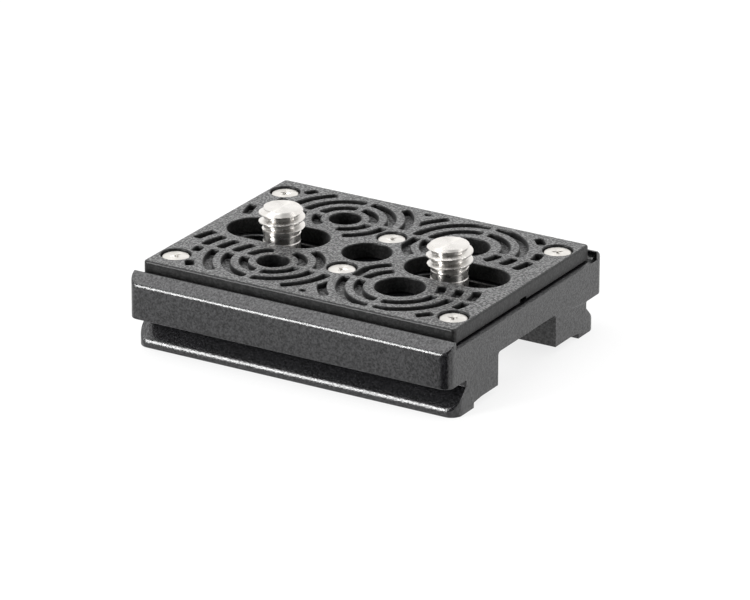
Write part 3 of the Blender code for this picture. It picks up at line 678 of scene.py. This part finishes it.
def ring_grooves(s, plate, hole, radius, quarters=(0, 1, 2, 3), rib=None, rival=None, reach=0,
                 keep_past=-math.inf):
    """Outlines of a ring round a hole: its free stretches, with ribs between the quarters.

    A ring stops short of the rival hole's reach, and beyond keep_past along X.
    """
    rib = rib or s.rib_width
    inner, outer = radius - s.ring_width / 2, radius + s.ring_width / 2
    field_side = pad_high.y - s.side_margin
    narrowest = 0.1 * MM
    outlines = []
    for quarter in quarters:
        def edge_point(edge_radius, along):
            skip = math.asin(rib / 2 / edge_radius)
            angle = math.pi / 2 * (quarter + along) + skip * (1 - 2 * along)
            least_x = keep_past + outer - edge_radius
            if rival:
                edge_radius = min(edge_radius, rival_limit(hole, angle, rival, reach))
            if hole[1] + inner < field_side < hole[1] + edge_radius * math.sin(angle):
                edge_radius = (field_side - HAIR - hole[1]) / math.sin(angle)
            x = max(hole[0] + edge_radius * math.cos(angle), least_x)
            return x, hole[1] + edge_radius * math.sin(angle)

        def is_free(along):
            near, far = edge_point(inner, along), edge_point(outer, along)
            return (math.dist(near, far) > narrowest and ground_is_free(s, plate, *near)
                    and ground_is_free(s, plate, *far))

        for first, last in free_runs(is_free):
            length = (last - first) * math.pi / 2 * radius
            if length < s.shortest_groove:
                continue
            steps = math.ceil(length / s.facet)
            # The points next to the corners are left out, so that a corner's rounding has room
            stops = [first + (last - first) * step / steps
                     for step in range(steps + 1) if step not in (1, steps - 1)]
            outlines.append([edge_point(outer, stop) for stop in stops]
                            + [edge_point(inner, stop) for stop in reversed(stops)])
    return outlines


def side_pocket(s, left_hole, left_radius, right_hole, right_radius):
    """The small triangle between two holes' rings and the field's side."""
    left_reach = left_radius + s.ring_width / 2 + s.pocket_land
    right_reach = right_radius + s.ring_width / 2 + s.pocket_land
    apart = math.dist(left_hole, right_hole)
    along = (apart * apart + left_reach * left_reach - right_reach * right_reach) / (2 * apart)
    up = math.sqrt(left_reach * left_reach - along * along)
    ux, uy = (right_hole[0] - left_hole[0]) / apart, (right_hole[1] - left_hole[1]) / apart
    apex = (left_hole[0] + ux * along - uy * up, left_hole[1] + uy * along + ux * up)
    side = min(pad_high.y - s.side_margin, apex[1] + s.pocket_depth)
    left_corner = left_hole[0] + math.sqrt(left_reach ** 2 - (side - left_hole[1]) ** 2)
    right_corner = right_hole[0] - math.sqrt(right_reach ** 2 - (side - right_hole[1]) ** 2)
    return [(left_corner, side), apex, (right_corner, side)]


def groove_outlines(s, plate):
    """Every groove on the pad's +Y half."""
    left_hole, right_hole = (-s.left_hole_x, s.left_hole_y), (s.right_hole_x, s.right_hole_y)
    left = [s.left_first_ring + s.ring_pitch * i for i in range(s.left_rings)]
    right = [s.right_first_ring + s.ring_pitch * i for i in range(s.right_rings)]
    whole = left[s.left_whole_rings - 1]
    outlines = []
    for radius in left[:s.left_whole_rings]:
        outlines += ring_grooves(s, plate, left_hole, radius)
    for radius in left[s.left_whole_rings:-1]:
        outlines += ring_grooves(s, plate, left_hole, radius, quarters=(1, 2))
    outlines += ring_grooves(s, plate, left_hole, left[-1], quarters=(2,), rib=s.outer_rib_width)
    outlines += ring_grooves(s, plate, right_hole, right[0])
    outlines += ring_grooves(s, plate, right_hole, right[1], quarters=(0, 1, 3))
    outlines += ring_grooves(s, plate, right_hole, right[1], quarters=(2,), keep_past=s.screw_land + HAIR)
    outlines += ring_grooves(s, plate, right_hole, right[2], rival=left_hole,
                             reach=whole + s.ring_width / 2 + s.rib_width)
    return outlines + [side_pocket(s, left_hole, whole, right_hole, right[-1])]


def softened(outline, radius, sharper_than=40):
    """An outline with its sharp corners rounded, anticlockwise."""
    outline = anticlockwise(outline)
    made = []
    for i, here in enumerate(outline):
        before, after = outline[i - 1], outline[(i + 1) % len(outline)]
        a, b = Vector(here) - Vector(before), Vector(after) - Vector(here)
        if a.angle(b) < math.radians(sharper_than):
            made.append(here)
            continue
        # Two roundings on one side use less than half of it each
        fits = 0.45 * min(a.length, b.length) / math.tan(a.angle(b) / 2)
        made += corner_arc(here, before, after, min(radius, fits), 4)
    return made


def mould_levels(s, foot, closed_foot=False):
    """Heights and growths of a moulded hole: a rounded mouth, and at a closed foot a small fillet."""
    r, top = s.mould_radius, pad_high.z
    fillet, fillet_middle = 0.08 * MM, 0.025 * MM
    # The mouth's rounding ends a hair above the pad's top, where the cut would leave slivers
    lift, flare, above = 0.003 * MM, 0.02 * MM, 0.4 * MM
    levels = [(foot, 0)]
    if closed_foot:
        levels = [(foot, -fillet), (foot + fillet_middle, -fillet_middle), (foot + fillet, 0)]
    for turn in (0, 25, 50, 75, 90):
        a = math.radians(turn)
        levels.append((top - r + r * math.sin(a) + lift, r * (1 - math.cos(a))))
    return levels + [(top + above, r + flare)]


def pad_slab(s):
    """The pad's outside: a chamfered foot, rounded upright corners and a rounded top edge."""
    top, foot = pad_high.z, pad_low.z
    foot_chamfer, edge_steps, corner_steps = 0.1 * MM, 5, 8
    levels = [(foot, foot_chamfer), (foot + foot_chamfer, 0)]
    for i in range(edge_steps + 1):
        turn = math.pi / 2 * i / edge_steps
        levels.append((top - s.edge_radius * (1 - math.sin(turn)), s.edge_radius * (1 - math.cos(turn))))
    rings = []
    for height, inset in levels:
        outline = []
        for sx, sy, start in ((1, 1, 0), (-1, 1, 90), (-1, -1, 180), (1, -1, 270)):
            outline += arc(sx * (pad_high.x - s.corner_radius), sy * (pad_high.y - s.corner_radius),
                           s.corner_radius - inset, start, start + 90, corner_steps)
        rings.append(lifted(outline, height))
    return skinned(rings)


def pad_openings(s, plate, screws):
    """The five round holes, the two slots and the six counterbores, ready to be cut away."""
    foot = pad_low.z - PAST
    through = mould_levels(s, foot)
    openings = bmesh.new()
    holes = [(0, 0, s.centre_hole / 2)]
    for x, y, width in ((-s.left_hole_x, s.left_hole_y, s.left_hole),
                        (s.right_hole_x, s.right_hole_y, s.right_hole)):
        holes += [(x, -y, width / 2), (x, y, width / 2)]
    for x, y, radius in holes:
        profile = [(0, foot)] + [(radius + more, height) for height, more in through]
        turned(profile + [(0, through[-1][0])], 72, openings, (x, y))
    add_slots(openings, plate, [(height, s.slot_margin + more) for height, more in through])
    seat = corner_screw_high.z - screws.head_dome - screws.head_rim - s.screw_gap
    head, shank = screws.head / 2 + s.screw_gap, screws.head_shank / 2 + s.screw_gap
    mouth = mould_levels(s, seat)
    profile = [(0, foot), (shank, foot), (shank, seat)]
    profile += [(head + more, height) for height, more in mouth] + [(0, mouth[-1][0])]
    for _, x, y in screw_places():
        turned(profile, 56, openings, (x, y))
    return openings


def pry_notch(s):
    """Two rings along X of the pry notch's section in Y and Z, which has rounded upper corners."""
    half, top, below, rounding = s.notch_width / 2, pad_low.z + s.notch_height, pad_low.z - PAST, 0.2 * MM
    section = [(-half, below), (half, below)]
    section += arc(half - rounding, top - rounding, rounding, 0, 90, 4)
    section += arc(-half + rounding, top - rounding, rounding, 90, 180, 4)
    return [[(x, y, z) for y, z in section] for x in (pad_high.x - s.notch_depth, pad_high.x + PAST)]


def pad_grooves(s, plate):
    """The grooves of both halves and the pry notch, ready to be cut away."""
    grooves = bmesh.new()
    levels = mould_levels(s, pad_high.z - s.ring_depth, closed_foot=True)
    for outline in groove_outlines(s, plate):
        smooth = softened(outline, s.groove_corner)
        for side in (1, -1):
            rings = [[(x, side * y, height) for x, y in grown(smooth, more)[::side]]
                     for height, more in levels]
            skinned(rings, grooves)
    return skinned(pry_notch(s), grooves)


class QRP_OT_add_grip_pad(bpy.types.Operator):
    """Adds the grip pad: a moulded slab with ring grooves, holes, slots, counterbores and a pry notch"""
    bl_idname = "quick_release.add_grip_pad"
    bl_label = "Grip pad"

    def execute(self, context):
        s, plate, screws = context.scene.qrp_pad, context.scene.qrp_plate, context.scene.qrp_screws
        pad = new_piece("moulded_grip_pad", pad_slab(s))
        cut(pad, pad_openings(s, plate, screws))
        cut(pad, pad_grooves(s, plate))
        dress(pad, moulded_rubber(s.colour, s.tip_colour), "plate", ["grip_pad"])
        return {"FINISHED"}


# Pad screws
def rounded_cross(outline):
    """A cross with each corner rounded by a short arc."""
    radius = 0.06 * MM
    made = []
    for i, here in enumerate(outline):
        made += corner_arc(here, outline[i - 1], outline[(i + 1) % len(outline)], radius, 2)
    return made


def cross_recess(s, top):
    """A cross-shaped hole that tapers as it goes down: a shallow dish with a small deep middle."""
    # Depth, and width across, as shares of the recess's own. It starts above the head.
    levels = ((-0.1, 1.3), (0.0, 1.0), (0.12, 0.42), (0.9, 0.2))
    least_wing, widest_wing, root = 0.55, 0.8, 1.15
    rings = []
    for depth, share in levels:
        span = s.recess_span / 2 * share
        wing = min(s.recess_wing / 2 * (least_wing + (1 - least_wing) * share), span * widest_wing)
        outline = []
        for quarter in range(4):
            turn = Matrix.Rotation(math.pi / 2 * quarter, 2)
            for point in ((span, -wing), (span, wing), (wing * root, wing * root)):
                outline.append(tuple(turn @ Vector(point)))
        rings.append(lifted(rounded_cross(outline), top - depth * s.recess_depth))
    return skinned(rings[::-1])


class QRP_OT_add_pad_screws(bpy.types.Operator):
    """Adds the six pad screws: turned pan heads with a tapered cross recess, each turned its own way"""
    bl_idname = "quick_release.add_pad_screws"
    bl_label = "Pad screws"

    def execute(self, context):
        s = context.scene.qrp_screws
        top, tip = corner_screw_high.z, corner_screw_low.z
        seat = top - s.head_dome - s.head_rim
        head, shank = s.head / 2, s.head_shank / 2
        bevel, dome = 0.06 * MM, 0.05 * MM
        profile = [(0, tip), (shank / 2, tip), (shank, tip + shank / 2), (shank, seat), (head - bevel, seat),
                   (head, seat + bevel)]
        # The edge's rounding runs into a nearly flat dome
        profile += arc(head - s.head_round, top - dome - s.head_round, s.head_round, 0, 78, 6)
        profile += [(head * share, top - dome * share * share) for share in (0.8, 0.6, 0.4, 0.2)]
        profile.append((0, top))
        material = turned_steel("Stainless steel, satin turned head", s.satin_colour, roughness=0.3,
                                line_mm=0.1, strength=0.25)
        # How far round each screw came to rest, in degrees
        turns = {"back_left": 12, "back_right": 35, "front_left": 58, "front_right": 20, "back_middle": 50,
                 "front_middle": 5}
        for name, x, y in screw_places():
            screw = new_piece("pan_head_screw_" + name, turned(profile, 64))
            cut(screw, cross_recess(s, top), solver="EXACT")
            screw.data.transform(Matrix.Rotation(math.radians(turns[name]), 4, "Z"))
            screw.location = (x, y, 0)
            dress(screw, material, "plate", ["pad_screw_" + name])
        return {"FINISHED"}


# Camera screws
def thread_radius(s, height, angle, thread_top, runout, start):
    """Radius of a right-hand 60 degree thread, chamfered at its top, that runs out over a low ridge."""
    # Its depth, and half of its flat crest and flat root, as shares of the pitch
    thread_depth, half_crest, half_root = 0.541, 1 / 16, 1 / 8
    runout_slope, ridge_end = 1.7, 0.2 * MM
    major, neck = s.thread / 2, s.neck / 2
    phase = ((height - thread_top) / s.pitch - angle / (2 * math.pi) + start) % 1.0
    from_crest = min(phase, 1.0 - phase)
    share = min(max((from_crest - half_crest) / (0.5 - half_root - half_crest), 0.0), 1.0)
    at_top = major - s.top_chamfer + (thread_top - height)
    at_foot = neck + (height - runout) * runout_slope
    left_over = s.ridge * min(max((height - runout + s.ridge_length) / ridge_end, 0.0), 1.0)
    return min(major - thread_depth * s.pitch * share, at_top, max(at_foot, neck + left_over))


def camera_screw_profile(s, low, high, thread_foot):
    """A camera screw's half section from its head's foot up, with a plain cylinder for the thread."""
    head, shank, neck, c = (high.x - low.x) / 2, s.shank / 2, s.neck / 2, s.head_chamfer
    head_foot, head_top, neck_foot = low.z, low.z + s.screw_head_height, pad_high.z - s.neck_sunk
    fillet, rows = 0.15 * MM, 96
    profile = [(0, head_foot), (head - c, head_foot), (head, head_foot + c), (head, head_top - c),
               (head - c, head_top), (shank + fillet, head_top)]
    profile += [(shank + fillet - fillet * math.sin(a), head_top + fillet - fillet * math.cos(a))
                for a in (0.5, 1.0, math.pi / 2)]
    # Rows close to the neck's ends keep its shading even
    profile += [(shank, neck_foot - (shank - neck)), (neck, neck_foot), (neck, neck_foot + 0.3 * MM),
                (neck, thread_foot - 0.03 * MM)]
    profile += [(s.thread / 2, thread_foot + (high.z - thread_foot) * i / rows) for i in range(rows + 1)]
    return profile + [(0, high.z)]


def coin_slot(s, head, head_foot):
    """A bar across the head's underside, ready to be cut away."""
    half, reach = s.coin_slot_width / 2, head + WELL_PAST
    bottom, ceiling = head_foot - WELL_PAST, head_foot + s.coin_slot_depth
    return skinned([[(-half, y, bottom), (half, y, bottom), (half, y, ceiling), (-half, y, ceiling)]
                    for y in (reach, -reach)])


class QRP_OT_add_camera_screws(bpy.types.Operator):
    """Adds the two camera screws: a cut quarter-inch thread, a polished neck, and a head with a coin slot"""
    bl_idname = "quick_release.add_camera_screws"
    bl_label = "Camera screws"

    def execute(self, context):
        s = context.scene.qrp_screws
        material = turned_steel("Stainless steel, turned and polished", s.steel_colour, roughness=0.28,
                                line_mm=0.05, strength=0.3)
        runout = pad_high.z + s.runout
        thread_foot = runout - s.ridge_length
        for side, low, high, start in (("left", left_screw_low, left_screw_high, s.left_start),
                                       ("right", right_screw_low, right_screw_high, s.right_start)):
            bm = turned(camera_screw_profile(s, low, high, thread_foot), 112)
            for vertex in bm.verts:
                radius = math.hypot(vertex.co.x, vertex.co.y)
                if radius > HAIR and vertex.co.z > thread_foot - HAIR:
                    angle = math.atan2(vertex.co.y, vertex.co.x)
                    scale = thread_radius(s, vertex.co.z, angle, high.z, runout, start) / radius
                    vertex.co.x *= scale
                    vertex.co.y *= scale
            screw = new_piece(side + "_threaded_screw", bm)
            cut(screw, coin_slot(s, (high.x - low.x) / 2, low.z), solver="EXACT")
            screw.location.x = (low.x + high.x) / 2
            dress(screw, material, side + "_screw", [side + "_camera_screw"], 30)
        return {"FINISHED"}


# Washers
class QRP_OT_add_slide_washers(bpy.types.Operator):
    """Adds the two washers that carry the camera screws along their slots"""
    bl_idname = "quick_release.add_slide_washers"
    bl_label = "Slide washers"

    def execute(self, context):
        s = context.scene.qrp_screws
        material = turned_steel("Rolled steel washer", s.washer_colour, roughness=0.35, line_mm=0.12,
                                strength=0.3)
        for side in ("left", "right"):
            low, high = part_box(side + "_slide_washer")
            outer, bore, c = (high.x - low.x) / 2, s.shank / 2 + s.washer_gap, 0.12 * MM
            section = [(bore + c, low.z), (outer - c, low.z), (outer, low.z + c), (outer, high.z - c),
                       (outer - c, high.z), (bore + c, high.z), (bore, high.z - c), (bore, low.z + c)]
            bm = bmesh.new()
            loops = circle_loops(bm, section, 96)
            bridge(bm, loops + loops[:1])
            washer = new_piece(side + "_flat_washer", bm)
            washer.location.x = (low.x + high.x) / 2
            dress(washer, material, side + "_washer", [side + "_slide_washer"])
        return {"FINISHED"}


# Stage
def lamp(name, width, height, radiance, place, aim):
    """A soft rectangular light that the camera doesn't see itself, of an even radiance."""
    data = bpy.data.lights.new(name, "AREA")
    data.shape = "RECTANGLE"
    data.size, data.size_y = width, height
    data.energy = radiance * math.pi * width * height
    made = bpy.data.objects.new(name, data)
    bpy.context.scene.collection.objects.link(made)
    made.location = place
    made.rotation_mode = "QUATERNION"
    made.rotation_quaternion = (Vector(aim) - Vector(place)).to_track_quat("-Z", "Y")
    made.visible_camera = False


def sheet_of_paper(name, outline, material):
    """A flat face on the stage. The outline is anticlockwise, in 3-D points."""
    bm = bmesh.new()
    bm.faces.new([bm.verts.new(point) for point in outline])
    sheet = new_piece(name, bm)
    sheet.data.materials.append(material)
    return sheet


def painted_shade_card(name, outline, height, colour):
    """A card just above the floor that the camera doesn't see, and that lights and shades nothing: painted
    shade that only reflections show.
    """
    material = matt_card("Matt " + name.replace("_", " "), colour)
    card = sheet_of_paper(name, lifted(outline, height), material)
    card.visible_camera = card.visible_diffuse = card.visible_shadow = False


def add_floor(s):
    """The white floor, and two cards that only reflections see.

    One card greys the long front side, and one darkens its right milled corner. Both are painted shade in
    the floor's reflection.
    """
    half, under_feet = s.floor_size / 2, -0.02 * MM
    corners = ((-half, -half), (half, -half), (half, half), (-half, half))
    sheet_of_paper("paper_floor", lifted(corners, under_feet), white_paper(s.floor_colour, s.shadow))
    right, front = plate_high.x, plate_low.y
    left, depth, radius = -0.1, 0.15, 0.25
    strip = [(left, front - depth), (right, front - depth), (right, front), (left, front)]
    # Painted shade: a grey strip that the long front side reflects
    painted_shade_card("painted_shade_grey_strip", strip, 0.2 * MM, s.painted_shade_grey_colour)
    # Painted shade: a black sector that the right front corner reflects
    sector = [(right, front)] + arc(right, front, radius, -122, -22, 12)
    painted_shade_card("painted_shade_dark_sector", sector, 0.3 * MM, s.painted_shade_dark_colour)


def add_camera(s, scene):
    """The camera as solved from the photo's straight edges, on the line that it looks along."""
    level = math.cos(s.elevation)
    right = Vector((math.cos(s.azimuth), math.sin(s.azimuth), 0))
    back = Vector((right.y * level, -right.x * level, math.sin(s.elevation)))
    up = back.cross(right)
    across = right * math.cos(s.roll) + up * math.sin(s.roll)
    upward = up * math.cos(s.roll) - right * math.sin(s.roll)
    aim = Vector((0, -s.aim_front, pad_high.z)) + across * s.aim_right - upward * s.aim_down
    data = bpy.data.cameras.new("photo_camera")
    data.lens, data.sensor_width, data.clip_start, data.clip_end = s.lens, 36.0, 0.01, 20.0
    camera = bpy.data.objects.new("photo_camera", data)
    scene.collection.objects.link(camera)
    turn = Matrix((across, upward, back)).transposed().to_4x4()
    camera.matrix_world = Matrix.Translation(aim + back * s.distance) @ turn
    scene.camera = camera


def add_lamps(s):
    """A softbox for the highlights of the front edges, a wide top light and a softbox at the right."""
    middle = Vector((0, 0, 6 * MM))
    to_key = Vector((-0.476, -0.831, 0.288)).normalized()
    lamp("key_softbox", 0.35, 0.6, s.key_strength, place=middle + to_key * 1.1, aim=middle)
    lamp("top_light", 1.0, 1.0, s.top_strength, place=middle + Vector((-0.45, -0.1, 1.1)), aim=middle)
    lamp("side_softbox", 0.5, 0.7, s.side_strength, place=middle + Vector((1.1, 0.15, 0.35)), aim=middle)


def add_sky(s, scene):
    """A white world that is bright behind the object and falls off towards the camera's side."""
    brightest = (-0.476, 0.798, 0.37)
    world = bpy.data.worlds.new("Studio")
    scene.world = world
    world.use_nodes = True
    tree = world.node_tree
    tree.nodes.clear()
    place = add_node(tree, "ShaderNodeTexCoord")
    toward = add_node(tree, "ShaderNodeVectorMath", {
        0: place.outputs["Generated"], 1: brightest}, operation="DOT_PRODUCT")
    strength = add_node(tree, "ShaderNodeMapRange", {
        "Value": toward.outputs["Value"], "From Min": -0.35, "From Max": 0.45, "To Min": s.sky_dim,
        "To Max": s.sky_bright}, interpolation_type="SMOOTHSTEP")
    sky = add_node(tree, "ShaderNodeBackground", {"Color": from_hex("#FFFFFF"), "Strength": strength})
    add_node(tree, "ShaderNodeOutputWorld", {"Surface": sky})


class QRP_OT_add_stage(bpy.types.Operator):
    """Adds the white floor, the soft lights, the sky and the camera"""
    bl_idname = "quick_release.add_stage"
    bl_label = "Stage"

    def execute(self, context):
        scene = context.scene
        s = scene.qrp_stage
        add_floor(s)
        add_camera(s, scene)
        add_lamps(s)
        add_sky(s, scene)
        scene.view_settings.view_transform = "Standard"
        return {"FINISHED"}


class QRP_PT_panel(bpy.types.Panel):
    """Lists the operators, and the sizes and colours that they use"""
    bl_idname = "QRP_PT_panel"
    bl_label = "Quick release plate"
    bl_space_type = "VIEW_3D"
    bl_region_type = "UI"
    bl_category = "Quick release"

    def draw(self, context):
        for operator in OPERATORS:
            self.layout.operator(operator.bl_idname)
        for holder in GROUPS:
            settings = getattr(context.scene, holder)
            column = self.layout.column()
            for name in settings.bl_rna.properties.keys():
                if name not in ("rna_type", "name"):
                    column.prop(settings, name)


OPERATORS = (QRP_OT_add_base_plate, QRP_OT_add_grip_pad, QRP_OT_add_pad_screws, QRP_OT_add_camera_screws,
             QRP_OT_add_slide_washers, QRP_OT_add_stage)
GROUPS = {"qrp_plate": PlateSizes, "qrp_pad": PadSizes, "qrp_screws": ScrewSizes, "qrp_stage": StageSettings}


def register():
    for made in (*GROUPS.values(), *OPERATORS, QRP_PT_panel):
        bpy.utils.register_class(made)
    for holder, group in GROUPS.items():
        setattr(bpy.types.Scene, holder, PointerProperty(type=group))


def unregister():
    for holder in GROUPS:
        delattr(bpy.types.Scene, holder)
    for made in reversed((*GROUPS.values(), *OPERATORS, QRP_PT_panel)):
        bpy.utils.unregister_class(made)


def main():
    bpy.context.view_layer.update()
    register()
    bpy.ops.quick_release.add_base_plate()
    bpy.ops.quick_release.add_grip_pad()
    bpy.ops.quick_release.add_pad_screws()
    bpy.ops.quick_release.add_camera_screws()
    bpy.ops.quick_release.add_slide_washers()
    bpy.ops.quick_release.add_stage()


if __name__ == "__main__":
    main()
